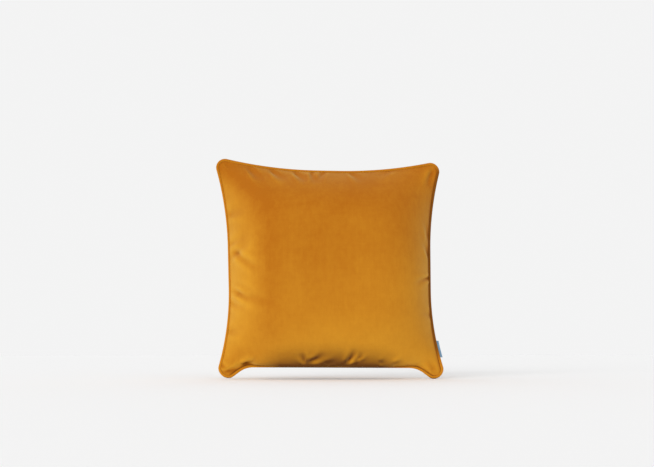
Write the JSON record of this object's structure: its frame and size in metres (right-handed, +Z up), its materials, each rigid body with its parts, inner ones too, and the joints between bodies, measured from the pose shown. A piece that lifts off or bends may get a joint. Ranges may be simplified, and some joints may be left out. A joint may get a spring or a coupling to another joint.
{
  "type": "throw pillow",
  "caption": "Square stuffed throw pillow with a piped edge and a zip in its bottom seam, standing upright on its two lower corners.",
  "frame": {"origin": "on the floor, under the middle of the upright pillow", "axes": "+X towards the edge with the side label, seen from the front as the right; +Y through the thickness, towards the back; +Z up, from the zipped edge to the opposite edge"},
  "size_m": [0.4542, 0.15, 0.4369],
  "materials": {
    "velvet": "mustard velvet with a short pile",
    "piping": "mustard velvet strip wrapped round a cord",
    "cotton_cord": "twisted white cotton",
    "thread": "matching polyester thread",
    "casing": "plain white cotton",
    "filling": "loose white fibre",
    "zip_tape": "woven polyester tape",
    "zip_teeth": "moulded, matt",
    "zip_metal": "dull brass",
    "side_label": "smooth blue satin ribbon",
    "care_label": "smooth white ribbon"
  },
  "bodies": {
    "pillow": {"front_panel": "velvet", "back_panel": "velvet", "piping_sleeve": "piping", "piping_cord": "cotton_cord", "seam_thread": "thread", "insert_casing_front": "casing", "insert_casing_back": "casing", "insert_filling": "filling", "zip_tape_front": "zip_tape", "zip_tape_back": "zip_tape", "zip_teeth_front": "zip_teeth", "zip_teeth_back": "zip_teeth", "zip_top_stops": "zip_metal", "zip_bottom_stop": "zip_metal", "zip_tacks": "thread", "side_label": "side_label", "care_label": "care_label"},
    "slider": {"zip_slider": "zip_metal"},
    "pull": {"zip_pull": "zip_metal"}
  },
  "joints": [
    {"name": "zip_slide", "type": "slide", "parent": "pillow", "child": "slider", "axis": [-1, 0, 0], "range_m": [0, 0.267], "deforming": ["zip_teeth_front", "zip_teeth_back"]},
    {"name": "zip_pull_hinge", "type": "hinge", "parent": "slider", "child": "pull", "pos_m": [0.132, 0.0053, 0.02865], "axis": [0, -1, 0], "range_deg": [0, 180]}
  ]
}
